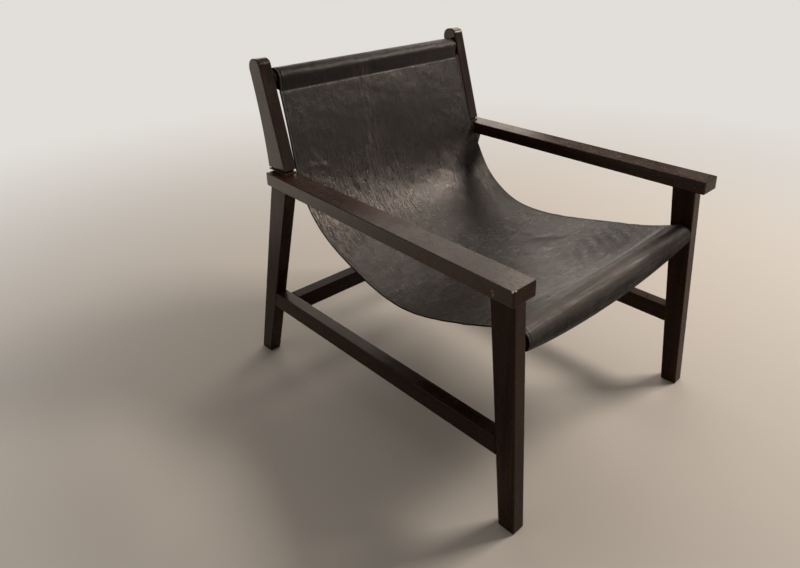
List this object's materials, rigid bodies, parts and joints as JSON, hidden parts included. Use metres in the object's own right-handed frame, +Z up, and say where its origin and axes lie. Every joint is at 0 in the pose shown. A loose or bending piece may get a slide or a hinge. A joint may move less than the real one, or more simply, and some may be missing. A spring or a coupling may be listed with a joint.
{
  "type": "sling lounge chair",
  "caption": "Low lounge chair with a black leather sling hung between two round rails, in a dark stained wooden frame with long flat arms and raked rear legs.",
  "frame": {"origin": "on the floor, midway between the side faces and midway between the front and rear feet", "axes": "+Z up, the chair faces -Y, +X to the sitter's left"},
  "size_m": [0.6768, 0.82, 0.739],
  "materials": {
    "stained_wood": "dark brown stain, almost black, under a satin lacquer",
    "bare_wood": "unfinished turned hardwood, hidden in the joints",
    "leather": "black saddle leather with a soft sheen, creased and mottled with use"
  },
  "bodies": {
    "root": {"front_rail": "stained_wood", "leather_sling": "leather", "left_arm": "stained_wood", "left_arm_front_dowel_front": "bare_wood", "left_arm_front_dowel_rear": "bare_wood", "left_arm_rear_dowel_front": "bare_wood", "left_arm_rear_dowel_rear": "bare_wood", "left_front_leg": "stained_wood", "left_rear_leg": "stained_wood", "left_rear_stretcher_dowel_lower": "bare_wood", "left_rear_stretcher_dowel_upper": "bare_wood", "left_side_stretcher": "stained_wood", "left_stretcher_front_dowel_lower": "bare_wood", "left_stretcher_front_dowel_upper": "bare_wood", "left_stretcher_rear_dowel_lower": "bare_wood", "left_stretcher_rear_dowel_upper": "bare_wood", "left_upright": "stained_wood", "left_upright_dowel_front": "bare_wood", "left_upright_dowel_rear": "bare_wood", "left_upright_spacer": "stained_wood", "rear_stretcher": "stained_wood", "right_arm": "stained_wood", "right_arm_front_dowel_front": "bare_wood", "right_arm_front_dowel_rear": "bare_wood", "right_arm_rear_dowel_front": "bare_wood", "right_arm_rear_dowel_rear": "bare_wood", "right_front_leg": "stained_wood", "right_rear_leg": "stained_wood", "right_rear_stretcher_dowel_lower": "bare_wood", "right_rear_stretcher_dowel_upper": "bare_wood", "right_side_stretcher": "stained_wood", "right_stretcher_front_dowel_lower": "bare_wood", "right_stretcher_front_dowel_upper": "bare_wood", "right_stretcher_rear_dowel_lower": "bare_wood", "right_stretcher_rear_dowel_upper": "bare_wood", "right_upright": "stained_wood", "right_upright_dowel_front": "bare_wood", "right_upright_dowel_rear": "bare_wood", "right_upright_spacer": "stained_wood", "top_rail": "stained_wood"}
  },
  "joints": []
}
